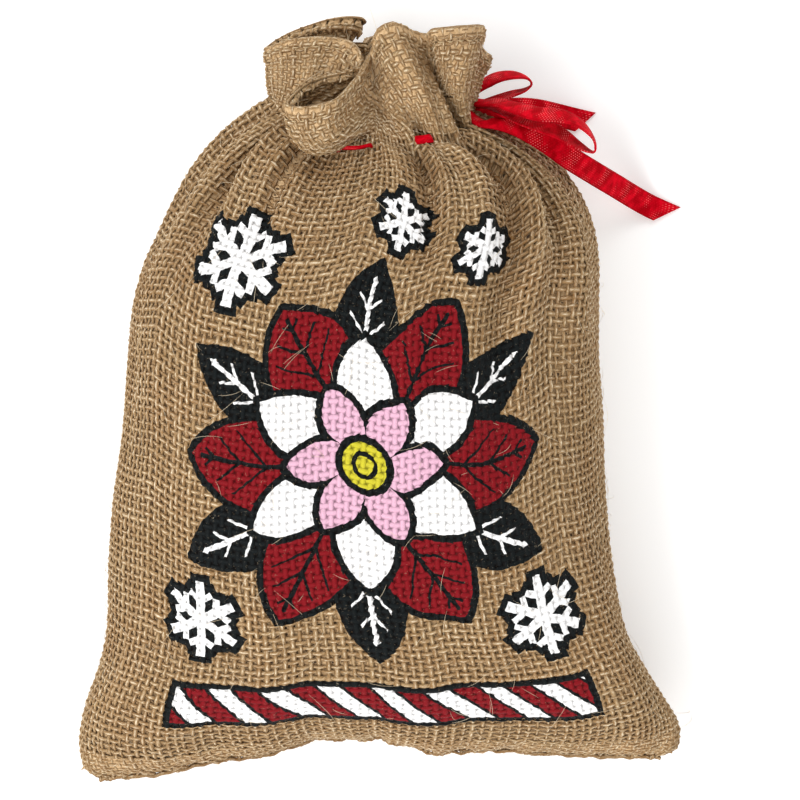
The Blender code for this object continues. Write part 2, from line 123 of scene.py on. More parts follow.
# Each run of the ribbon from the knot on: x, y, z and roll in degrees
RIBBONS = {
    "ribbon_loop_top": (
        (25.8, 83.9, 21.0, 60.0),
        (29.2, 86.6, 20.2, 60.0),
        (32.6, 88.2, 20.6, 62.0),
        (36.6, 88.7, 20.8, 68.0),
        (40.0, 88.0, 20.8, 80.0),
        (41.4, 86.3, 20.8, 90.0),
        (39.8, 84.8, 20.8, 100.0),
        (36.2, 83.6, 21.0, 108.0),
        (32.2, 82.2, 21.0, 112.0),
        (27.9, 80.9, 21.4, 115.0),
    ),
    "ribbon_tail_upper": (
        (26.8, 79.2, 19.3, 35.0),
        (32.6, 79.6, 16.0, 30.0),
        (38.0, 80.2, 13.2, 25.0),
        (43.5, 79.9, 9.5, 15.0),
        (49.0, 78.9, 5.2, 8.0),
        (53.4, 78.0, 2.0, 3.0),
        (57.0, 77.2, 1.0, 0.0),
    ),
    "ribbon_loop_low": (
        (28.2, 80.8, 26.9, 68.0),
        (32.4, 80.6, 30.6, 66.0),
        (37.0, 78.9, 34.8, 56.0),
        (42.5, 77.0, 38.8, 50.0),
        (48.6, 76.4, 40.4, 54.0),
        (53.6, 74.4, 40.4, 66.0),
        (57.4, 70.4, 40.0, 82.0),
        (57.6, 66.8, 39.4, 93.0),
        (54.0, 68.2, 39.0, 110.0),
        (48.2, 72.0, 38.4, 126.0),
        (42.6, 74.2, 37.6, 128.0),
    ),
    "ribbon_tail_lower": (
        (27.8, 75.2, 32.3, 62.0),
        (31.4, 74.7, 34.0, 60.0),
        (35.6, 73.9, 34.9, 48.0),
        (40.2, 72.4, 35.0, 28.0),
        (45.8, 69.4, 34.2, 10.0),
        (51.8, 65.4, 31.0, -2.0),
        (58.4, 61.9, 23.5, -5.0),
        (64.6, 58.9, 14.5, -4.0),
        (70.4, 56.0, 6.4, -3.0),
        (75.0, 53.8, 1.8, -1.0),
        (79.6, 51.8, 0.8, 0.0),
    ),
}
# The same runs' hidden ends, which the CAD leaves out: before and after the route
INTO_KNOT = {
    "ribbon_loop_top": ([(24.1, 81.3, 21.0, 60.0)], [(24.7, 80.7, 21.4, 115.0)]),
    "ribbon_tail_upper": ([(24.1, 81.3, 21.0, 35.0)], []),
    "ribbon_loop_low": (
        [(25.0, 81.2, 22.4, 66.0)],
        [
            (38.2, 76.0, 34.0, 124.0),
            (33.2, 78.4, 28.8, 118.0),
            (28.8, 80.2, 24.2, 112.0),
            (25.4, 81.0, 21.6, 108.0),
        ],
    ),
    "ribbon_tail_lower": ([(24.4, 80.4, 21.8, 66.0), (25.4, 77.6, 27.0, 64.0)], []),
}
TAIL_CUT = {"ribbon_tail_upper": 4.6, "ribbon_tail_lower": 5.6}
# The ribbon's stitches round the neck: first fold, last fold, sections below the tie, half the width
STITCHES = (
    (9.4, 10.6, 0.0, 1.2),
    (12.2, 13.7, 0.75, 0.6),
    (16.8, 17.4, 0.0, 1.2),
    (21.9, 22.9, 0.0, 1.2),
    (25.2, 26.2, 0.0, 1.2),
    (29.0, 30.0, 0.0, 1.2),
    (32.0, 33.0, 0.0, 1.2),
)

# ---------------------------------------------------------------- camera, light and table top

CAMERA = (5.7, 0.3, 1200.0)  # straight over the sack
LENS, SENSOR = 195.0, 36.0
CAMERA_RANGE = (0.01, 20.0)  # nearest and farthest that the camera sees, in metres
TABLE_SIZE = 8.0
TABLE_PAPER = {
    "Base Color": (0.92, 0.92, 0.915, 1),
    "Roughness": 0.85,
    "Specular IOR Level": 0.1,
    "Emission Color": (1, 1, 1, 1),
    "Emission Strength": 0.22,
}
ROOM_LIGHT = 0.62
# Soft lamps: name, place and size in metres, power in watts
LAMPS = (
    ("key", (-0.75, -0.2, 0.95), 0.8, 10.5),
    ("low_fill", (0.1, -1.0, 0.75), 0.8, 6.0),
    ("top_fill", (0.4, 0.95, 0.85), 0.7, 5.0),
)


def stand_camera():
    camera = bpy.data.objects.new("camera", bpy.data.cameras.new("camera"))
    camera.location = [at * MM for at in CAMERA]
    camera.data.lens = LENS
    camera.data.sensor_width = SENSOR
    camera.data.clip_start, camera.data.clip_end = CAMERA_RANGE
    bpy.context.scene.collection.objects.link(camera)
    bpy.context.scene.camera = camera


def hang_lamp(name, place, size, power):
    """A square soft lamp that faces the sack."""
    lamp = bpy.data.objects.new(name, bpy.data.lights.new(name, "AREA"))
    lamp.data.size, lamp.data.energy = size, power
    lamp.location = place
    ways = -np.array(place) / np.linalg.norm(place)
    lamp.rotation_euler = (math.acos(-ways[2]), 0, math.atan2(-ways[0], ways[1]))
    bpy.context.scene.collection.objects.link(lamp)


def lay_table():
    bpy.ops.object.select_all(action="DESELECT")
    bpy.ops.mesh.primitive_plane_add(size=TABLE_SIZE, location=(0, 0, 0))
    table = bpy.context.object
    table.name = "table_top"
    paper = bpy.data.materials.new("white paper")
    paper.use_nodes = True
    shader = paper.node_tree.nodes["Principled BSDF"].inputs
    for socket, value in TABLE_PAPER.items():
        shader[socket].default_value = value
    table.data.materials.append(paper)


def light_room():
    world = bpy.data.worlds.new("studio")
    bpy.context.scene.world = world
    world.use_nodes = True
    sky = world.node_tree.nodes["Background"].inputs
    sky["Color"].default_value = (1, 1, 1, 1)
    sky["Strength"].default_value = ROOM_LIGHT
    for lamp in LAMPS:
        hang_lamp(*lamp)
    bpy.context.scene.view_settings.view_transform = "Standard"


# ---------------------------------------------------------------- shader nodes


class Nodes:
    """Lays nodes in one tree and joins them. What a node gives comes back as a Wire."""

    def __init__(self, tree):
        self.tree = tree

    def add(self, kind, *, inputs=None, **settings):
        node = self.tree.nodes.new(kind)
        for name, value in settings.items():
            setattr(node, name, value)
        for name, value in (inputs or {}).items():
            self.feed(node.inputs[name], value)
        return node

    def feed(self, socket, value):
        if isinstance(value, Wire):
            self.tree.links.new(value.socket, socket)
        else:
            socket.default_value = value

    def take(self, kind, output, **given):
        """One output of a new node."""
        return Wire(self, self.add(kind, **given).outputs[output])

    def wires(self, node):
        """All outputs of a node, by name."""
        return {socket.name: Wire(self, socket) for socket in node.outputs if socket.name}

    def group(self, tree, **inputs):
        """A group with these inputs, whose names have a _ for each space."""
        given = {name.replace("_", " "): value for name, value in inputs.items()}
        return self.wires(self.add("ShaderNodeGroup", node_tree=tree, inputs=given))

    def run(self, value, low, high, to_low=0.0, to_high=1.0):
        """The value's way from low to high as a soft step."""
        given = {"Value": value, "From Min": low, "From Max": high, "To Min": to_low, "To Max": to_high}
        return self.take("ShaderNodeMapRange", "Result", interpolation_type="SMOOTHSTEP", inputs=given)

    def blend(self, share, under, over):
        """The share of one colour over another."""
        colours = [(*colour, 1.0) if isinstance(colour, tuple) else colour for colour in (under, over)]
        given = {0: share, 6: colours[0], 7: colours[1]}
        return self.take("ShaderNodeMix", 2, data_type="RGBA", blend_type="MIX", inputs=given)

    def stored(self, name, output="Fac"):
        return self.take("ShaderNodeAttribute", output, attribute_name=name)

    def split(self, vector):
        node = self.add("ShaderNodeSeparateXYZ", inputs={0: vector})
        return [Wire(self, socket) for socket in node.outputs]

    def joined(self, x, y, z):
        return self.take("ShaderNodeCombineXYZ", 0, inputs={0: x, 1: y, 2: z})

    def grain(self, vector, scale, detail, rough):
        given = {"Vector": vector, "Scale": scale, "Detail": detail, "Roughness": rough}
        return self.take("ShaderNodeTexNoise", 0, noise_dimensions="3D", inputs=given)

    def dress(self, shader, colour, rough, **bump):
        """Feeds a shader its colour and roughness, and its bump where it has one."""
        self.feed(shader["Base Color"], colour)
        self.feed(shader["Roughness"], rough)
        if bump:
            self.feed(shader["Normal"], self.take("ShaderNodeBump", 0, inputs=bump))


class Wire(np.lib.mixins.NDArrayOperatorsMixin):
    """What a node gives. A sum on it lays a Math node, so the print's shapes are written once, for the shader
    and for the yarns, whose places are plain numbers."""

    STEPS = {
        np.add: "ADD",
        np.subtract: "SUBTRACT",
        np.multiply: "MULTIPLY",
        np.maximum: "MAXIMUM",
        np.minimum: "MINIMUM",
        np.less: "LESS_THAN",
        np.remainder: "FLOORED_MODULO",
        np.absolute: "ABSOLUTE",
        np.sqrt: "SQRT",
        np.sin: "SINE",
        np.cos: "COSINE",
        np.arctan2: "ARCTAN2",
    }

    def __init__(self, nodes, socket):
        self.nodes, self.socket = nodes, socket

    def __array_ufunc__(self, step, _, *values):
        given = dict(enumerate(values))
        return self.nodes.take("ShaderNodeMath", 0, operation=self.STEPS[step], inputs=given)


def new_group(name, takes, gives):
    """An empty shader node group; takes and gives are (name, kind, value) rows."""
    tree = bpy.data.node_groups.new(name, "ShaderNodeTree")
    for rows, way in ((takes, "INPUT"), (gives, "OUTPUT")):
        for label, kind, value in rows:
            socket = tree.interface.new_socket(label, in_out=way, socket_type=f"NodeSocket{kind}")
            if value is not None:
                socket.default_value = value
    nodes = Nodes(tree)
    return nodes, nodes.wires(nodes.add("NodeGroupInput")), nodes.add("NodeGroupOutput").inputs


def new_material(name, specular=None):
    """A new material with its shader's sockets and its nodes."""
    made = bpy.data.materials.new(name)
    made.use_nodes = True
    shader = made.node_tree.nodes["Principled BSDF"].inputs
    if specular is not None:
        shader["Specular IOR Level"].default_value = specular
    return made, shader, Nodes(made.node_tree)


# ---------------------------------------------------------------- the print


def reach_of(x, y):
    return np.sqrt(x * x + y * y)


def folded(x, y, turn):
    """A spot's way along the nearest of six spokes, and off it to the side."""
    sector = math.pi / 3
    angle = (np.arctan2(y, x) + (turn + sector / 2)) % sector - sector / 2
    reach = reach_of(x, y)
    return reach * np.cos(angle), abs(reach * np.sin(angle))


def petals(x, y, near, far, half, turn):
    """How far a spot is outside six pointed petals, in millimetres (below 0 it is on one), and the spot's way
    along and off the petal's middle."""
    along, across = folded(x, y, turn)
    long = (far - near) / 2
    bow = (long * long + half * half) / (2 * half)
    return reach_of(along - (near + far) / 2, across + (bow - half)) - bow, along, across


def snowflake(x, y, radius, thick):
    """How far a spot is outside a snowflake with six arms, each with a pair of twigs."""
    along, across = folded(x, y, math.pi / 6)
    arm = np.maximum(across - thick, along - radius)
    lean = math.radians(60)
    step = along - 0.46 * radius
    way = step * math.cos(lean) + across * math.sin(lean)
    off = abs(across * math.cos(lean) - step * math.sin(lean)) - thick * 0.85
    return np.minimum(arm, np.maximum(off, abs(way) - 0.42 * radius))


RED_INK = (0.200, 0.004, 0.008)
WHITE_INK = (0.89, 0.88, 0.87)
PINK_INK = (0.70, 0.41, 0.53)
YELLOW_INK = (0.56, 0.50, 0.03)
BLACK_INK = (0.0035, 0.0055, 0.006)
LINE = 0.95  # half of the black outline's width
# The flower's rings of petals, from the back to the front: near and far end, half the width, turn, ink
RINGS = (
    (14.0, 55.0, 8.5, math.pi / 6, BLACK_INK),
    (4.0, 49.0, 13.0, 0.0, RED_INK),
    (3.0, 35.0, 8.6, math.pi / 6, WHITE_INK),
    (2.0, 22.0, 6.2, 0.0, PINK_INK),
)
VEINED = 2  # of them have veins
VEIN_STEP, VEIN_HALF, VEIN_FREE = 7.5, 0.62, 2.6  # from one vein to the next, half the width, off the outline
HEART = 7.0
SEED_RING = (3.0, 0.6)
# Snowflakes round the flower: x, y, radius, half the width of an arm
SNOWFLAKES = (
    (-41.0, 53.0, 14.5, 2.5),
    (29.0, 57.0, 9.0, 2.0),
    (3.0, 68.0, 9.5, 2.0),
    (-45.0, -44.0, 11.5, 2.2),
    (45.0, -45.0, 12.0, 2.2),
)
BAND = (-71.0, 7.0, 51.0)  # the striped band below: its middle, half its height and half its length
STRIPE_STEP, STRIPE_HALF, STRIPE_LINE = 13.0, 3.3, 0.55


def print_shapes(x, y):
    """The print's shapes from back to front: how far a spot is outside each, its ink, and its veins."""
    for number, (near, far, half, turn, ink) in enumerate(RINGS):
        shape, along, across = petals(x, y, near, far, half, turn)
        veins = None
        if number < VEINED:
            side = abs((along - across * 1.1) % VEIN_STEP - VEIN_STEP / 2) + across * 0.03
            veins = np.maximum(np.minimum(across, side), shape + (VEIN_FREE + LINE))
        yield shape, ink, veins
    yield reach_of(x, y) - HEART, YELLOW_INK, None
    for at_x, at_y, radius, thick in SNOWFLAKES:
        yield snowflake(x - at_x, y - at_y, radius, thick), WHITE_INK, None
    middle, half, long = BAND
    yield np.maximum(abs(y - middle) - half, abs(x) - long), WHITE_INK, None


def print_reach(cloth):
    """How far each point of the cloth is outside the print."""
    return np.min([shape for shape, _, _ in print_shapes(cloth[..., 0], cloth[..., 1])], axis=0) - LINE


def print_group():
    """A printed flower, snowflakes round it and a striped band below: the ink's colour and where it lies."""
    takes, gives = (("Place", "Vector", None),), (("Colour", "Color", None), ("Ink", "Float", None))
    nodes, takes, gives = new_group("flower print", takes, gives)
    given = {"Vector": takes["Place"], "Scale": 0.3, "Detail": 2.0}
    wobble = nodes.take("ShaderNodeTexNoise", "Color", inputs=given)
    given = {0: wobble, 1: (1.2, 1.2, 0.0), 2: takes["Place"]}
    x, y, _ = nodes.split(nodes.take("ShaderNodeVectorMath", 0, operation="MULTIPLY_ADD", inputs=given))
    ink, colour = None, (0.0, 0.0, 0.0)
    for shape, fill, veins in print_shapes(x, y):
        on, inside = shape < LINE, shape < -LINE
        ink = on if ink is None else np.maximum(ink, on)
        colour = nodes.blend(inside, nodes.blend(on, colour, BLACK_INK), fill)
        if veins is not None:
            drawn = inside * (veins < VEIN_HALF)
            colour = nodes.blend(drawn, colour, WHITE_INK if fill == BLACK_INK else BLACK_INK)
    radius, half = SEED_RING
    colour = nodes.blend(abs(reach_of(x, y) - radius) < half, colour, BLACK_INK)
    # The last shape is the band: red stripes with black lines on its white
    stripe = abs((x + y * 0.8) % STRIPE_STEP - STRIPE_STEP / 2) - STRIPE_HALF
    colour = nodes.blend(inside * (stripe < 0.0), colour, RED_INK)
    colour = nodes.blend(inside * (abs(stripe) < STRIPE_LINE), colour, BLACK_INK)
    nodes.feed(gives["Colour"], colour)
    nodes.feed(gives["Ink"], ink)
    return nodes.tree


# ---------------------------------------------------------------- materials


def fibre_group():
    """Fibres along a twisted yarn: Light and Dark masks and a Height, from the yarn's own coordinates."""
    takes = (("Around and along", "Vector", None), ("Seed", "Float", 0.0), ("Twist", "Float", 1.4))
    gives = (("Light", "Float", None), ("Dark", "Float", None), ("Height", "Float", None))
    nodes, takes, gives = new_group("jute fibres", takes, gives)
    side, up, along = nodes.split(takes["Around and along"])
    turn = along * takes["Twist"]
    cos, sin = np.cos(turn), np.sin(turn)
    place = nodes.joined(side * cos - up * sin, side * sin + up * cos, along * 0.30 + takes["Seed"] * 7.1)
    fine = nodes.grain(place, 3.0, 3.0, 0.62)
    broad = nodes.grain(place, 1.5, 2.0, 0.5)
    nodes.feed(gives["Light"], nodes.run(fine, 0.50, 0.68))
    nodes.feed(gives["Dark"], nodes.run(broad, 0.50, 0.30))
    nodes.feed(gives["Height"], fine)
    return nodes.tree


GOLDEN = (0.285, 0.160, 0.064)
STRAW = (0.375, 0.240, 0.112)
TANNED = (0.30, 0.155, 0.058)
CREAM = (0.94, 0.82, 0.60)
BARK = (0.200, 0.098, 0.034)
SHADE = (0.150, 0.080, 0.030)
CREASE_SHADE = (0.21, 0.098, 0.030)
INK_SHADE = (0.02, 0.012, 0.01)


def jute_yarn(fibres, ink):
    """Twisted jute: painted highlights on the yarns' tops, painted shade low between them, the print's ink on
    the tops.
    """
    made, shader, nodes = new_material("jute yarn", specular=0.10)
    cloth, strand = nodes.stored("cloth", "Vector"), nodes.stored("strand", "Vector")
    seed, sunk = nodes.stored("seed"), nodes.stored("sunk")
    s, t, lift = nodes.split(cloth)
    side, _, along = nodes.split(strand)
    flat = nodes.joined(s, t, 0.0)
    fibre = nodes.group(fibres, Around_and_along=strand, Seed=seed)
    light, dark = fibre["Light"], fibre["Dark"]
    # Golden and straw yarns, thicker and thinner along their way, tanned in patches, with painted shade in
    # the creases
    own = nodes.take("ShaderNodeTexWhiteNoise", "Value", noise_dimensions="1D", inputs={"W": seed})
    slub = nodes.grain(nodes.joined(seed * 13.7, along * 0.11, 0.0), 1.0, 2.0, 0.5)
    colour = nodes.blend(nodes.run(own * 0.35 + slub * 0.9, 0.35, 0.95), GOLDEN, STRAW)
    patch = nodes.grain(flat, 0.04, 3.0, 0.6)
    colour = nodes.blend(nodes.run(patch, 0.42, 0.66, 0.0, 0.35), colour, TANNED)
    # Painted shade: darker down in the creases
    colour = nodes.blend(sunk * 0.75, colour, CREASE_SHADE)
    colour = nodes.blend(dark * 0.65, colour, BARK)
    colour = nodes.blend(light * 0.38, colour, CREAM)
    # Painted highlights: the light catching the fibres on the back of each yarn in short strokes, fainter in
    # the creases
    stroke = nodes.grain(nodes.joined(seed * 5.3, along * 0.75, 0.0), 1.0, 1.0, 0.5)
    ridge = 1.0 - abs(side - (slub - 0.5) * 1.1)
    glint = nodes.run(ridge, 0.54, 0.94) * nodes.run(lift, 0.20, 0.52)
    glint = glint * nodes.run(stroke, 0.36, 0.58, 0.15, 1.0) * nodes.run(light, 0.0, 0.8, 0.5, 1.0)
    colour = nodes.blend(glint * nodes.run(sunk, 0.1, 0.9, 1.0, 0.35), colour, CREAM)
    # Painted shade on the low parts of each yarn, where it passes under another
    colour = nodes.blend(nodes.run(lift, 0.28, -0.05, 0.0, 0.16), colour, SHADE)
    # The ink covers the tops, thinner where it is rubbed and where fibres stand up
    inks = nodes.group(ink, Place=flat)
    rub = nodes.grain(cloth, 1.3, 3.0, 0.6)
    worn = nodes.run(light * nodes.grain(flat, 0.8, 2.0, 0.6), 0.46, 0.62, 1.0, 0.45)
    cover = nodes.run(lift + (rub - 0.5) * 0.6, -0.22, -0.08) * inks["Ink"] * worn
    thick = nodes.run(nodes.split(inks["Colour"])[1], 0.5, 0.8, 1.0, 0.3)  # white is laid on thickest
    # Painted shade on the ink low between the yarns, less under the thick white ink; dark fibres also show
    # through it
    low = nodes.run(lift, 0.22, -0.02, 0.0, 0.42) * thick
    colour = nodes.blend(cover, colour, nodes.blend(np.maximum(low, dark * 0.12), inks["Colour"], INK_SHADE))
    rough = nodes.run(light, 0.0, 1.0, 0.70, 0.42) + cover * -0.08
    height = fibre["Height"] * (1.0 - cover * 0.6)
    nodes.dress(shader, colour, rough, Height=height, Strength=0.6, Distance=0.0003)
    return made


def thin_jute(name, fibres, light, dark):
    """Finer jute for sewing thread and loose fibres."""
    made, shader, nodes = new_material(name)
    strand, seed = nodes.stored("strand", "Vector"), nodes.stored("seed")
    fibre = nodes.group(fibres, Around_and_along=strand, Seed=seed, Twist=2.6)
    colour = nodes.blend(fibre["Dark"], light, dark)
    nodes.dress(shader, colour, nodes.run(fibre["Light"], 0.0, 1.0, 0.6, 0.4))
    return made


def shaded_lining():
    """The cloth's own shade, seen through the gaps between the yarns."""
    made, shader, nodes = new_material("jute in shade")
    place = nodes.take("ShaderNodeTexCoord", "Object")
    fuzz = nodes.grain(place, 900.0, 3.0, 0.6)
    broad = nodes.grain(place, 60.0, 2.0, 0.5)
    colour = nodes.blend(nodes.run(fuzz, 0.35, 0.7), (0.47, 0.295, 0.140), (0.72, 0.51, 0.285))
    colour = nodes.blend(nodes.run(broad, 0.4, 0.7, 0.0, 0.4), colour, (0.36, 0.215, 0.096))
    # Painted shade: dark pinholes, one in each gap of the weave and of no even size
    cells = nodes.stored("cells", "Vector")
    off = [way % 1.0 - 0.5 for way in nodes.split(cells)[:2]]
    size = nodes.run(nodes.grain(cells, 0.9, 2.0, 0.6), 0.40, 0.68, 0.0, 0.28)
    colour = nodes.blend(nodes.run(reach_of(*off) - size, 0.0, -0.10), colour, (0.05, 0.025, 0.010))
    rough = nodes.run(fuzz, 0.3, 0.7, 0.95, 0.8)
    nodes.dress(shader, colour, rough, Height=fuzz, Strength=0.6, Distance=0.0004)
    return made


TWILL_STEP, WARP_STEP, EDGE_STEP = 0.78, 0.62, 0.5  # of the satin's slanting weave, its warp and its edge


def red_satin():
    """Satin ribbon: a fine slanting weave with painted glints in dots, painted bands of light and shade, a
    firm edge.
    """
    made, shader, nodes = new_material("red satin", specular=0.01)
    across, along, _ = nodes.split(nodes.stored("ribbon", "Vector"))
    twill = np.sin((along + across * 0.62) * (2 * math.pi / TWILL_STEP))
    warp = np.sin(across * (2 * math.pi / WARP_STEP))
    weave = (twill + 1.0) * (warp + 1.0)
    crease = nodes.grain(nodes.joined(across * 0.25, along * 0.35, 0.0), 1.0, 3.0, 0.6)
    sheen = nodes.grain(nodes.joined(across * 0.10, along * 0.16, 3.0), 1.0, 2.0, 0.5)
    edge = nodes.run(abs(across), RIBBON_WIDTH / 2 - 0.55, RIBBON_WIDTH / 2 - 0.3)
    # Painted light and shade: brighter and darker bands of red, as on creased satin
    colour = nodes.blend(nodes.run(crease, 0.35, 0.7), (0.36, 0.0, 0.004), (0.70, 0.002, 0.014))
    # Painted highlights: pink glints on the weave's dots, in patches along the ribbon
    catch = nodes.run(nodes.run(sheen, 0.46, 0.64), 0.0, 1.0, 0.03, 0.8)
    colour = nodes.blend(nodes.run(weave, 2.0, 3.4) * catch, colour, (1.0, 0.22, 0.22))
    colour = nodes.blend(edge * 0.35, colour, (0.30, 0.002, 0.006))
    height = weave * 0.25 + np.sin(along * (2 * math.pi / EDGE_STEP)) * (edge * 0.8)
    rough = nodes.run(weave, 0.5, 3.6, 0.6, 0.4)
    nodes.dress(shader, colour, rough, Height=height, Strength=0.35, Distance=0.00012)
    return made


# ---------------------------------------------------------------- the cloth's surface


def between(a, b, c, d, part):
    """On a curve through four even values: the value at this part of the way from the second to the third."""
    return b + 0.5 * part * (c - a + part * (2 * a - 5 * b + 4 * c - d + part * (3 * (b - c) + d - a)))


def smooth(values, at):
    """The value at a place between rows, on a curve through the rows."""
    values = np.asarray(values, float)
    last = len(values) - 1
    low = min(int(at), last - 1)
    return between(*(values[min(max(low + step, 0), last)] for step in (-1, 0, 1, 2)), at - low)


def round_loop(values, at, period=0.0):
    """The same on a closed row of values at many places, which may grow by period each time round."""
    values = np.asarray(values, float)
    count = len(values)
    low = np.floor(at).astype(int)
    part = (at - low).reshape((-1,) + (1,) * (values.ndim - 1))
    steps = [low + step for step in (-1, 0, 1, 2)]
    return between(*(values[i % count] + period * (i // count).reshape(part.shape) for i in steps), part)


def ease(part):
    part = np.clip(part, 0.0, 1.0)
    return part * part * (3 - 2 * part)


def unit(vectors):
    return vectors / np.maximum(np.linalg.norm(vectors, axis=-1), 1e-12)[..., None]


def lengths_along(points):
    """How far along its line each point is."""
    return np.concatenate(([0], np.cumsum(np.linalg.norm(np.diff(points, axis=0), axis=1))))


def power(value, exponent):
    return np.sign(value) * np.abs(value) ** exponent


def section_at(row):
    return dict(zip(SECTION_COLUMNS, smooth(SECTIONS, row)))


def centre_of(row):
    s = section_at(row)
    pairs = (("left_x", "right_x"), ("left_y", "right_y"), ("crown", "back"))
    return np.array([(s[one] + s[other]) / 2 for one, other in pairs])


def body_row(row, at):
    """One closed section of the cloth with its folds, at these places round it."""
    s = section_at(row)
    turn = ease((row - 10) / (TIE - 10))
    angles = np.radians(round_loop(FOLD["body"] + turn * (FOLD["tie"] - FOLD["body"]), at, 360.0))
    depth = round_loop(1 - (1 - FOLD["depth"]) * ease((row - FOLD["foot"]) / (TIE - FOLD["foot"])), at)
    across, up = power(np.cos(angles), s["square"]), power(np.sin(angles), s["square"])
    x = (s["left_x"] + s["right_x"]) / 2 + across * (s["right_x"] - s["left_x"]) / 2
    y = (s["left_y"] + s["right_y"]) / 2 + across * (s["right_y"] - s["left_y"]) / 2 + up * s["tilt"]
    z = s["seam"] + up * np.where(up > 0, s["crown"] - s["seam"], s["seam"] - s["back"])
    y += np.interp(x, *zip(*BOTTOM_EDGE)) * (1 - ease(row / EDGE_REACH))
    middle = centre_of(row)
    return middle + depth[:, None] * (np.stack((x, y, z), 1) - middle)


def ruffle_row(part, at):
    """A row of the ruffle between the tie (0) and the hem (1)."""
    low = body_row(TIE, at)
    high = round_loop(np.stack((FOLD["x"], FOLD["y"], FOLD["z"]), 1), at)
    bulge = round_loop(FOLD["belly"], at)[:, None] * unit(low - centre_of(TIE))
    bulge -= round_loop(FOLD["droop"], at)[:, None] * np.array((0, 1, 0))
    return low + part * (high - low) + 4 * part * (1 - part) * bulge


WARPS = 164
PLACES = 2 * WARPS  # round the girth: each warp yarn, and each gap between two
BODY_WEFTS, RUFFLE_WEFTS, TURNED_WEFTS = 98, 13, 2
SIDE_SEAMS = (1.143, 21.182)  # places of the right and left seams, in folds
BODY_STEP = 0.125
FRONT_PLACES = 170  # of them over the front, from the right seam to the left


def round_places(front):
    """Two fine rows of places, in folds: over the front between the side seams, and round the back."""
    right, left = SIDE_SEAMS
    return np.linspace(right, left, 1201) if front else np.linspace(left, right + len(FOLDS), 901)


def even_places(*rows):
    """Where the warp yarns lie when they are spread evenly by length on these rows, and the mean girth."""
    places, girth = [], 0.0
    for front, steps in ((True, FRONT_PLACES), (False, PLACES - FRONT_PLACES)):
        fine = round_places(front)
        length = sum(lengths_along(row(fine)) for row in rows)
        places.append(np.interp(np.arange(steps) / steps * length[-1], length, fine))
        girth += length[-1]
    return np.concatenate(places), girth / len(rows)


def spread_even(rows, count):
    """The rows again, in count steps that are even by length down each line. The last value of a
    point is its place."""
    rows = np.array(rows)
    out = np.empty((count + 1, *rows.shape[1:]))
    for k in range(rows.shape[1]):
        line = rows[:, k]
        length = lengths_along(line[:, :3])
        at = np.linspace(0, length[-1], count + 1)
        for axis in range(rows.shape[2]):
            out[:, k, axis] = np.interp(at, length, line[:, axis])
    return out


def slopes(grid):
    """The cloth's directions down each line and round each row, and the way out of it."""
    down = np.gradient(grid, axis=0)
    wide = (np.roll(grid, -1, axis=1) - np.roll(grid, 1, axis=1)) / 2
    return down, wide, unit(np.cross(down, wide))


WAVES, WAVES_EVEN = 26, 5.1  # in one relief, and what brings their sum back to about 1


def ripple(count, low, high, tall, seed):
    """A smooth random relief that closes round the girth: rows by places, about -1 to 1."""
    own = np.random.default_rng(seed)
    round_, along = np.arange(PLACES) / PLACES, np.arange(count) / count
    total = np.zeros((count, PLACES))
    for _ in range(WAVES):
        turns, way = own.integers(low, high + 1), own.uniform(-tall, tall)
        phase = own.uniform(0, 2 * math.pi, 2)
        total += np.cos(2 * math.pi * (turns * round_[None, :] + way * along[:, None]) + phase[0])
    return total / WAVES_EVEN


def cloth_lattice():
    """The middle of the cloth at every crossing and half-way between, from the bottom seam to the mouth, with
    the place round the folds of each."""
    base, girth = even_places(*(lambda at, row=row: body_row(row, at) for row in (6, 8, 10)))
    tied, _ = even_places(lambda at: body_row(TIE, at))
    open_, _ = even_places(lambda at: ruffle_row(1.0, at))
    rows = []
    for row in np.arange(0, TIE + 0.001, BODY_STEP):
        at = base + 0.8 * ease((row - 11) / 8) * (tied - base)
        rows.append(np.concatenate((body_row(row, at), at[:, None]), axis=1))
    seam = rows[0].copy()
    seam[:, 1] -= 0.7
    seam[:, 2] = SECTIONS[0][4]
    body = spread_even([seam, *rows], 2 * BODY_WEFTS)
    foot = base + 0.8 * (tied - base)
    rows = []
    for part in np.linspace(0, 1, 40):
        at = foot + ease(part) * (open_ - foot)
        rows.append(np.concatenate((ruffle_row(part, at), at[:, None]), axis=1))
    ruffle = spread_even(rows, 2 * RUFFLE_WEFTS)
    return np.concatenate((body, ruffle[1:])), girth


# Sharp creases that run down from the tie: at which fold, how deep, from what share of the
# body's height on, and how wide
CREASES = (
    (10.8, 5.0, 0.70, 0.28),
    (8.3, 6.6, 0.54, 0.32),
    (6.1, 2.2, 0.70, 0.30),
    (15.4, 3.0, 0.72, 0.30),
    (13.9, 3.0, 0.84, 1.10),
    (12.1, 1.4, 0.86, 0.30),
    (18.2, 4.0, 0.64, 0.32),
    (20.0, 2.2, 0.74, 0.34),
    (2.0, 1.2, 0.78, 0.42),
    (4.6, 0.9, 0.84, 0.42),
    (24.0, 1.8, 0.76, 0.36),
    (28.0, 1.8, 0.76, 0.36),
    (31.0, 1.8, 0.76, 0.36),
    (34.0, 1.6, 0.78, 0.36),
)


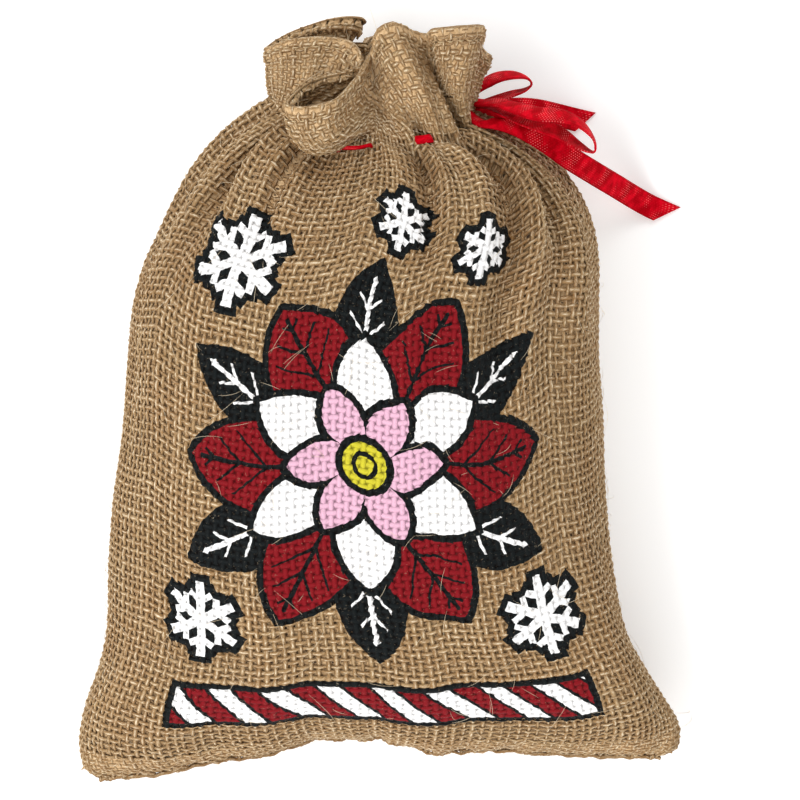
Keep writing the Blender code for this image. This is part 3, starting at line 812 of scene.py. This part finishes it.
def creased(grid, at):
    """The cloth's small relief: waves on the body, creases that run into the neck, puckers at the seams.
    Gives the cloth and how far each point is down in a crease, from 0 to 1."""
    count = len(grid)
    sunk = np.zeros(grid.shape[:2])
    k = np.arange(count)[:, None] / (2 * BODY_WEFTS)
    _, _, out = slopes(grid)
    # Broad and finer waves all over the body
    relief = ripple(count, 2, 7, 3.0, 3) * 0.8 * ease(k / 0.12) * ease((1.02 - k) / 0.2)
    relief = relief + ripple(count, 9, 19, 5.0, 4) * 0.25 * ease(k / 0.05)
    # Gathers at the neck, puckers along the bottom seam, and soft folds on the shoulders
    relief += ripple(count, 22, 46, 1.6, 5) * 0.5 * ease((k - 0.70) / 0.22) * ease((1.16 - k) / 0.1)
    relief += ripple(count, 26, 48, 1.0, 6) * 0.4 * np.exp(-k * 14.0)
    relief += ripple(count, 11, 22, 0.7, 8) * 0.8 * ease((k - 0.42) / 0.4) * ease((1.1 - k) / 0.1)
    for fold, depth, foot, width in CREASES:
        away = (at - fold + len(FOLDS) / 2) % len(FOLDS) - len(FOLDS) / 2
        share = ease((k - foot) / (0.97 - foot)) * ease((1.005 - k) / 0.035)
        ridge = 0.36 * np.exp(-(((np.abs(away) - 2.7 * width) / (1.4 * width)) ** 2))
        relief += depth * share * (ridge - np.exp(-((away / width) ** 2)))
        # How far down in a crease: the yarns' colour takes painted shade and fainter painted highlights from
        # it
        sunk = np.maximum(sunk, min(depth / 4, 1) * share * np.exp(-((away / (1.5 * width)) ** 2)))
    place = np.arange(PLACES)[None, :]
    for middle in (0, FRONT_PLACES, PLACES):  # the side seams draw the cloth in
        relief += -0.75 * np.exp(-(((place - middle) / 2.4) ** 2)) * ease(k / 0.03) * ease((1.0 - k) / 0.12)
    return grid + relief[..., None] * out, sunk


HEM_STEP, HEM_DEEP = 0.8, 4.3  # how much the doubled cloth stands out, and how far down it reaches
HEM_TURN, HEM_EDGE = (1.35, 0.0), (0.7, 0.25)  # the turned-in cloth and its very edge: how far in, and over


def hem_turned(grid):
    """Adds the hem: thicker at the mouth, then over the edge and down inside."""
    down, _, out = slopes(grid)
    long = np.linalg.norm(down, axis=2)
    left = np.cumsum(long[::-1], axis=0)[::-1]  # how far each point is from the mouth's edge
    grid = grid + (HEM_STEP * ease((HEM_DEEP - left) / 0.7) - 0.42)[..., None] * out
    _, _, out = slopes(grid)
    turned = []
    for step in range(1, 2 * TURNED_WEFTS + 2):
        row = grid[-1 - step] if step > 1 else grid[-1]
        inward, over = HEM_TURN if step > 1 else HEM_EDGE
        turned.append(row - inward * out[-1 - step] + over * unit(down[-1]))
    return np.concatenate((grid, np.array(turned)))


# ---------------------------------------------------------------- meshes


def new_piece(name, verts, faces, material):
    mesh = bpy.data.meshes.new(name)
    mesh.from_pydata(verts.reshape(-1, 3) * MM, [], faces)
    mesh.shade_smooth()
    mesh.materials.append(material)
    piece = bpy.data.objects.new(name, mesh)
    bpy.context.scene.collection.objects.link(piece)
    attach(piece, "root")
    return piece


def store(piece, name, values):
    """A vector or a number at every point of a piece."""
    values = np.asarray(values, np.float32).ravel()
    plain = len(values) == len(piece.data.vertices)
    kind, field = ("FLOAT", "value") if plain else ("FLOAT_VECTOR", "vector")
    made = piece.data.attributes.new(name, kind, "POINT")
    made.data.foreach_set(field, values)


def wall_faces(count, rings, sides, closed):
    """The walls of count tubes of so many rings; closed ones join their last ring to their first."""
    spans = rings if closed else rings - 1
    y, k, s = np.meshgrid(np.arange(count), np.arange(spans), np.arange(sides), indexing="ij")
    base, after = y * rings * sides, (s + 1) % sides
    low, high = base + k * sides, base + ((k + 1) % rings) * sides
    return np.stack((low + s, low + after, high + after, high + s), -1).reshape(-1, 4).tolist()


def tube_faces(count, rings, sides, closed):
    """The same tubes with ends, where they aren't closed."""
    faces = wall_faces(count, rings, sides, closed)
    if not closed:
        for tube in range(count):
            start = tube * rings * sides
            faces.append(list(range(start + sides - 1, start - 1, -1)))
            faces.append(list(range(start + (rings - 1) * sides, start + rings * sides)))
    return faces


def baking_map(piece, count, rings, sides, closed):
    """A map for the export that gives each side of each yarn its own straight strip."""
    spans = rings if closed else rings - 1
    y, k, s = np.meshgrid(np.arange(count), np.arange(spans), np.arange(sides), indexing="ij")
    margin = 0.08
    low, high = (y + (s + margin) / sides) / count, (y + (s + 1 - margin) / sides) / count
    start, end = k / spans, (k + 1) / spans
    corners = np.stack((low, start, high, start, high, end, low, end), -1).reshape(-1, 2)
    if not closed:
        corners = np.concatenate((corners, np.tile(((0.0, 0.0),), (2 * count * sides, 1))))
    layer = piece.data.uv_layers.new(name="OFBake")
    layer.data.foreach_set("uv", corners.astype(np.float32).ravel())


def drift(count, length, reach, amount):
    """Smooth random numbers along each of count yarns; their end meets their start."""
    raw = dice.normal(size=(count, length))
    kernel = np.exp(-0.5 * (np.arange(-3 * reach, 3 * reach + 1) / reach) ** 2)
    kernel /= np.sqrt((kernel**2).sum())
    padded = np.concatenate((raw[:, -3 * reach :], raw, raw[:, : 3 * reach]), axis=1)
    return amount * np.stack([np.convolve(row, kernel, "valid") for row in padded])


CLOTH_FLOOR = 0.85  # how low the middle of the cloth reaches
SIDES = 4  # of a yarn
OVER = 0.27  # how far a yarn rises over the one it crosses
YARN_HALF = 0.68  # half of a yarn's width where it has room
YARN_HIGH = 0.34
YARN_SEEDS = 500.0  # each set of yarns has this many seeds of its own


def weave(name, points, out, gap, cloth, sunk, over, closed, first, ways, material):
    """Yarns along the rows of points, over and under as the weave goes, as wide as the gaps between them
    allow. First is the first yarn's seed, and ways how the print's x and y grow over a yarn's width."""
    count, length, _ = points.shape
    if closed:
        way = np.roll(points, -1, axis=1) - np.roll(points, 1, axis=1)
    else:
        way = np.gradient(points, axis=1)
    side = unit(np.cross(out, way))
    inked = ease((1.0 - print_reach(cloth)) / 1.6)
    plump = 1 + np.clip(drift(count, length, 6, 0.16), -0.34, 0.5) + dice.normal(0, 0.09, (count, 1))
    free = YARN_HALF * plump
    room = 0.47 * gap
    half_wide = (free**-5.0 + room**-5.0) ** -0.2  # the smaller of the two, without a jump
    half_wide = np.maximum(half_wide + inked * (0.53 * gap - half_wide), 0.2)  # ink closes the gaps
    half_high = np.minimum(YARN_HIGH * (0.7 + 0.3 * plump), half_wide * 1.1) * (1 - 0.2 * inked)
    over = over * (1 - 0.5 * inked) + drift(count, length, 4, 0.05) * (1 - inked)
    middle = points + (over + 0.12 * inked)[..., None] * out
    sway = drift(count, length, 9, 0.15) * np.minimum(gap / 2.05, 1) * (1 - 0.6 * inked)
    middle = middle + sway[..., None] * side
    angle = 2 * math.pi * np.arange(SIDES) / SIDES
    cos, sin = np.cos(angle), np.sin(angle)
    wide, high = half_wide[..., None] * cos, half_high[..., None] * sin
    rings = middle[:, :, None] + side[:, :, None] * wide[..., None] + out[:, :, None] * high[..., None]
    rings[..., 2] = np.maximum(rings[..., 2], 0.06 + 0.10 * (sin + 1))
    piece = new_piece(name, rings, tube_faces(count, length, SIDES, closed), material)
    steps = np.linalg.norm(np.diff(points, axis=1, append=points[:, -1:]), axis=2)
    along = (np.cumsum(steps, axis=1) - steps)[..., None]
    ones = np.ones((count, length, SIDES))
    # How high each point stands on its yarn, from which the yarns' colour takes painted highlights on top and
    # painted shade below
    lift = over[..., None] * sin + half_high[..., None] * np.abs(sin)
    shift = wide + sway[..., None]
    place = [cloth[:, :, None, axis] + shift * grows for axis, grows in enumerate(ways)]
    store(piece, "cloth", np.stack((*place, lift), -1))
    store(piece, "strand", np.stack((cos * ones, sin * ones, along * ones), -1))
    store(piece, "seed", (first + np.arange(count))[:, None, None] * ones)
    store(piece, "sunk", sunk[..., None] * ones)
    baking_map(piece, count, length, SIDES, closed)


# The flower's middle: how far round the front from the right seam, and how far up from the bottom
PRINT_MIDDLE = (87.0, 109.0)


def weave_sack(material):
    """All the yarns of the sack, as pieces of under 200,000 triangles."""
    grid, girth = cloth_lattice()
    grid, sunk = creased(grid[..., :3], grid[..., 3])
    outer = len(grid)
    grid = hem_turned(grid)
    sunk = np.concatenate((sunk, np.zeros((len(grid) - outer, PLACES))))
    grid[..., 2] = np.maximum(grid[..., 2], CLOTH_FLOOR)
    down, wide, out = slopes(grid)
    inner = unit(np.cross(wide, down))
    out[outer + 1 :] = inner[outer + 1 :]
    out[outer] = unit(down[outer - 2])
    crossings = (len(grid) + 1) // 2
    turn = np.where((np.add.outer(np.arange(crossings), np.arange(WARPS)) % 2) == 0, 1.0, -1.0)
    pitch = girth / WARPS
    s = np.arange(PLACES) * girth / PLACES
    t = np.arange(len(grid)) * pitch / 2
    cloth = np.stack(np.broadcast_arrays(PRINT_MIDDLE[0] - s[None, :], t[:, None] - PRINT_MIDDLE[1]), -1)
    gap_round = np.linalg.norm(np.roll(grid, -1, axis=1) - np.roll(grid, 1, axis=1), axis=2)
    gap_down = np.linalg.norm(np.gradient(grid, axis=0), axis=2) * 2
    warp_over = np.zeros((len(grid), WARPS))
    warp_over[::2] = turn * OVER
    weft_over = np.zeros((crossings, PLACES))
    weft_over[:, ::2] = -turn * OVER
    for part, (warps, wefts) in enumerate((("front", "lower"), ("back", "upper"))):
        mine = np.arange(part * WARPS // 2, (part + 1) * WARPS // 2)
        lines = [values[:, 2 * mine].swapaxes(0, 1) for values in (grid, out, gap_round, cloth, sunk)]
        first = part * YARN_SEEDS
        weave(f"warp_yarns_{warps}", *lines, warp_over[:, mine].T, False, first, (-1.0, 0.0), material)
        mine = np.arange(part * crossings // 2, (part + 1) * crossings // 2)
        lines = [values[2 * mine] for values in (grid, out, gap_down, cloth, sunk)]
        first += 4 * YARN_SEEDS
        weave(f"weft_yarns_{wefts}", *lines, weft_over[mine], True, first, (0.0, -1.0), material)
    gap, over = np.full((1, PLACES), pitch), np.full((1, PLACES), 0.1)
    edge = slice(outer, outer + 1)
    lines = (grid[edge], out[edge], gap, cloth[edge], sunk[edge])
    weave("hem_edge_yarn", *lines, over, True, 7 * YARN_SEEDS, (0.0, -1.0), material)
    return grid, out, outer


LINING_FLOOR = 1.1  # how low the lining reaches


def line_sack(material, grid, out):
    """The filled sack under its yarns: a closed form a little inside them, up into the ruffle's foot."""
    top = 2 * BODY_WEFTS + 8
    levels = np.arange(6, top + 1, 2)
    inset = 0.52 + 1.5 * ease((14 - levels) / 12)
    rows = grid[levels, ::2] - inset[:, None, None] * out[levels, ::2]
    rows[..., 2] = np.maximum(rows[..., 2], LINING_FLOOR)
    count, around, _ = rows.shape
    faces = wall_faces(1, count, around, False)
    front = list(range(FRONT_PLACES // 2 + 1))
    back = [-i % around for i in range(around - FRONT_PLACES // 2 + 1)]
    while len(front) > 1 or len(back) > 1:  # closes the bottom seam, from the right corner to the left
        ahead = len(back) == 1 or (len(front) > 1 and rows[0, front[1], 0] > rows[0, back[1], 0])
        chain = front if ahead else back
        corners = (front[0], chain[1], back[0])
        if len(set(corners)) == 3:
            faces.append(list(corners))
        del chain[0]
    head = count * around
    faces += [[head, head - around + i, head - around + (i + 1) % around] for i in range(around)]
    verts = np.concatenate((rows.reshape(-1, 3), rows[-1].mean(0)[None]))
    piece = new_piece("sack_lining", verts, faces, material)
    bm = bmesh.new()
    bm.from_mesh(piece.data)
    bmesh.ops.recalc_face_normals(bm, faces=bm.faces)
    bm.to_mesh(piece.data)
    bm.free()
    round_, up = np.arange(around)[None, :], np.arange(3, 3 + count)[:, None]
    cells = np.stack(np.broadcast_arrays(round_, up, 0.0), -1)
    store(piece, "cells", np.concatenate((cells.reshape(-1, 3), [[0.0, 0.0, 0.0]])))
    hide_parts("sack")


def lay_fuzz(name, material, grid, out, first, last, edge):
    """The short fuzz that fills the gaps between these rows' yarns: a thin closed sheet in the cloth's
    middle, thicker from the row named edge on."""
    half = 0.06 + 0.3 * ease((np.arange(first, last) - edge + 3) / 2)
    face = grid[first:last, ::2]
    lift = half[:, None, None] * out[first:last, ::2]
    rows = np.concatenate((face + lift, (face - lift)[::-1]))
    count, around, _ = rows.shape
    new_piece(name, rows, wall_faces(1, count, around, True), material)


# ---------------------------------------------------------------- the ribbon

ACROSS = np.linspace(-1, 1, 9)
SATIN_HALF = 0.17


def satin_strip(name, points, across, half_wide, cup, material):
    """A ribbon through these points: across is the way over its width, cup how far its middle stands out."""
    ways = unit(np.gradient(points, axis=0))
    face = unit(np.cross(across, ways))
    bow = cup[:, None] * (1 - ACROSS**2)
    middle = points[:, None] + across[:, None] * (half_wide[:, None] * ACROSS)[..., None]
    middle += face[:, None] * bow[..., None]
    rim = SATIN_HALF * np.where(np.abs(ACROSS) > 0.9, 1.35, 1.0)
    upper = middle + face[:, None] * rim[None, :, None]
    lower = (middle - face[:, None] * rim[None, :, None])[:, ::-1]
    rings = np.concatenate((upper, lower), axis=1)[None]
    sides = rings.shape[2]
    faces = [face_[::-1] for face_ in tube_faces(1, len(points), sides, False)]
    piece = new_piece(name, rings, faces, material)
    along = lengths_along(points)
    u = np.concatenate((ACROSS, ACROSS[::-1])) * RIBBON_WIDTH / 2
    store(piece, "ribbon", np.stack(np.broadcast_arrays(u[None, :], along[:, None], 0.0), -1))
    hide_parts(name)
    return piece


def run_of_ribbon(name, route, material):
    """A loop or tail of the bow, drawn together where it comes out of the knot."""
    route = np.array([*INTO_KNOT[name][0], *route, *INTO_KNOT[name][1]])
    spans = len(route) - 1
    curve = np.array([smooth(route, step / 6) for step in range(spans * 6 + 1)])
    points, rolls = curve[:, :3], np.radians(curve[:, 3])
    ways = unit(np.gradient(points, axis=0))
    flat = unit(np.cross(ways, (0, 0, 1)))
    across = np.cos(rolls)[:, None] * flat + np.sin(rolls)[:, None] * np.cross(flat, ways)
    near = np.linalg.norm(points - np.array(KNOT), axis=1)
    drawn = ease((9.0 - near) / 7.0)
    half_wide = RIBBON_WIDTH / 2 * (1 - 0.42 * drawn)
    cup = 0.25 + 0.9 * drawn
    piece = satin_strip(name, points, across, half_wide, cup, material)
    if name in TAIL_CUT:
        cut_end(piece, len(points), TAIL_CUT[name], ways[-1])


def cut_end(piece, rings, slant, way):
    """Cuts a tail's end on a slant, as with scissors."""
    sides = 2 * len(ACROSS)
    u = np.concatenate((ACROSS, ACROSS[::-1]))
    for back in range(6):
        share = (1 - back / 6) * slant / 2
        for side in range(sides):
            vert = piece.data.vertices[(rings - 1 - back) * sides + side]
            vert.co = [c - share * u[side] * w * MM for c, w in zip(vert.co, way)]


KNOT_HALF = (2.9, 2.2, 1.95)  # the knot's core: half its size along x, y and z
KNOT_ROUND = (2.35, 2.05)  # the ribbon's way round it: half along y and z


def tie_knot(material):
    """The knot: the ribbon wound once round itself and pulled tight, over a small bunched core."""
    turns = np.linspace(0, 2 * math.pi, 33)[:-1]
    half_y, half_z = KNOT_ROUND
    ring = np.stack((0 * turns, half_y * np.cos(turns), half_z * np.sin(turns)), -1) + np.array(KNOT)
    ways = unit(np.roll(ring, -1, axis=0) - np.roll(ring, 1, axis=0))
    out = unit(ring - np.array(KNOT))
    across = unit(np.cross(ways, out))
    u = np.linspace(-1, 1, 11)
    pleat = 0.22 * np.cos(u * math.pi * 2.5)[None, :] + 0.5 * (1 - u**2)[None, :]
    middle = ring[:, None] + across[:, None] * (2.5 * u)[None, :, None] + out[:, None] * pleat[..., None]
    upper = middle + out[:, None] * 0.16
    lower = (middle - out[:, None] * 0.9)[:, ::-1]
    rings = np.concatenate((upper, lower), axis=1)[None]
    faces = tube_faces(1, len(turns), rings.shape[2], True)
    piece = new_piece("ribbon_knot_wrap", rings, faces, material)
    off = np.concatenate((u, u[::-1]))[None, :] * 2.9
    store(piece, "ribbon", np.stack(np.broadcast_arrays(off, turns[:, None] * 2.3, 0.0), -1))
    bpy.ops.object.select_all(action="DESELECT")
    bpy.ops.mesh.primitive_uv_sphere_add(segments=24, ring_count=14, radius=1.0)
    core = bpy.context.object
    core.name = core.data.name = "ribbon_knot_core"
    for vert in core.data.vertices:
        fold = 1 + 0.10 * math.cos(5 * math.atan2(vert.co.z, vert.co.y))
        swell = (1, fold, fold)
        vert.co = [(c + half * at * by) * MM for c, half, at, by in zip(KNOT, KNOT_HALF, vert.co, swell)]
    core.data.shade_smooth()
    core.data.materials.append(material)
    store(core, "ribbon", [[0.8 * (v.co.y / MM - KNOT[1]), v.co.x / MM, 0.0] for v in core.data.vertices])
    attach(core, "root")
    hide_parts("ribbon_knot")


def stitch_of_ribbon(name, first, last, down, half, material):
    """A short length of ribbon round the gathers, its ends drawn in through the weave."""
    shares = np.linspace(0, 1, 17)
    at = first + shares * (last - first)
    below, above = body_row(TIE - 0.4 - down, at), body_row(TIE - down, at) if down else ruffle_row(0.08, at)
    cloth = (below + above) / 2
    middle = centre_of(TIE)
    chord = cloth[0] + shares[:, None] * (cloth[-1] - cloth[0])
    hollow = np.linalg.norm(chord - middle, axis=1) > np.linalg.norm(cloth - middle, axis=1)
    points = np.where(hollow[:, None], chord, cloth)
    out = unit(np.cross(np.gradient(points, axis=0), above - below))
    out *= np.sign(np.sum(out * (points - middle), axis=1))[:, None]
    dive = np.minimum(np.minimum(shares, 1 - shares) / 0.16, 1)
    points = points + (-0.9 + 1.75 * ease(dive))[:, None] * out
    across = unit(above - below)
    half_wide = half * (0.72 + 0.28 * ease(dive))
    satin_strip(name, points, across, half_wide, 0.22 + 0 * half_wide, material)


# ---------------------------------------------------------------- thread and loose fibres


def thin_strands(name, lines, half, material):
    """Thin round strands, all of the same number of points."""
    lines = np.array(lines)
    count, length, _ = lines.shape
    ways = unit(np.gradient(lines, axis=1))
    helper = np.where(np.abs(ways[..., 2:]) < 0.9, (0.0, 0.0, 1.0), (1.0, 0.0, 0.0))
    side = unit(np.cross(helper, ways))
    up = np.cross(ways, side)
    angle = 2 * math.pi * np.arange(3) / 3
    taper = half * np.sin(np.linspace(0.35, math.pi - 0.35, length))
    rings = (
        lines[:, :, None]
        + side[:, :, None] * (taper[:, None] * np.cos(angle))[None, ..., None]
        + up[:, :, None] * (taper[:, None] * np.sin(angle))[None, ..., None]
    )
    rings[..., 2] = np.maximum(rings[..., 2], 0.05)
    piece = new_piece(name, rings, tube_faces(count, length, 3, False), material)
    ones = np.ones((count, length, 3))
    along = np.linspace(0, 10.0, length)[None, :, None] * ones
    store(piece, "strand", np.stack((np.cos(angle) * ones, np.sin(angle) * ones, along), -1))
    store(piece, "seed", np.arange(count)[:, None, None] * ones)


FIBRES, FIBRE_HALF = 620, 0.055


def loose_fibres(grid, out, outer, material):
    """Single fibres that have worked loose from the yarns, lying over the cloth and standing off it."""
    lines = []
    down, wide, _ = slopes(grid)
    for _ in range(FIBRES):
        k, i = dice.integers(3, outer - 2), dice.integers(0, PLACES)
        start = grid[k, i] + 0.62 * out[k, i]
        turn, long = dice.uniform(0, 2 * math.pi), dice.gamma(3.0, 2.1)
        way = math.cos(turn) * unit(down[k, i]) + math.sin(turn) * unit(wide[k, i])
        bend = dice.normal(0, 0.5)
        side = np.cross(out[k, i], way)
        rise = dice.gamma(1.5, 0.55)
        steps = np.linspace(0, 1, 7)[:, None]
        curve = start + long * steps * way + long * bend * steps**2 * side * 0.6
        curve = curve + out[k, i] * (rise * np.sin(steps * math.pi * 0.75) - 0.012 * long**2 * steps**2)
        lines.append(curve)
    thin_strands("loose_fibres", lines, FIBRE_HALF, material)


def hem_thread(grid, out, outer, material):
    """The line of sewing below the hem: one short stitch after another round the mouth."""
    lines = []
    row = outer - 4
    for i in range(0, PLACES, 3):
        low, high = grid[row, i % PLACES], grid[row, (i + 2) % PLACES]
        lift = out[row, i % PLACES]
        steps = np.linspace(0, 1, 6)[:, None]
        lines.append(low + steps * (high - low) + lift * (0.35 + 0.45 * np.sin(math.pi * steps)))
    thin_strands("hem_thread", lines, 0.22, material)


stand_camera()
light_room()
lay_table()
satin = red_satin()
for name, route in RIBBONS.items():
    run_of_ribbon(name, route, satin)
tie_knot(satin)
for number, stitch in enumerate(STITCHES, 1):
    stitch_of_ribbon(f"ribbon_stitch_{number}", *stitch, satin)
fibres = fibre_group()
yarn = jute_yarn(fibres, print_group())
grid, out, outer = weave_sack(yarn)
shaded = shaded_lining()
line_sack(shaded, grid, out)
lay_fuzz("ruffle_fuzz", shaded, grid, out, 2 * BODY_WEFTS + 2, outer + 3, outer)
lay_fuzz("seam_fuzz", shaded, grid, out, 1, 14, 99)
loose_fibres(grid, out, outer, thin_jute("loose jute", fibres, (0.72, 0.60, 0.42), (0.42, 0.28, 0.14)))
hem_thread(grid, out, outer, thin_jute("sewing thread", fibres, (0.62, 0.47, 0.27), (0.30, 0.18, 0.08)))
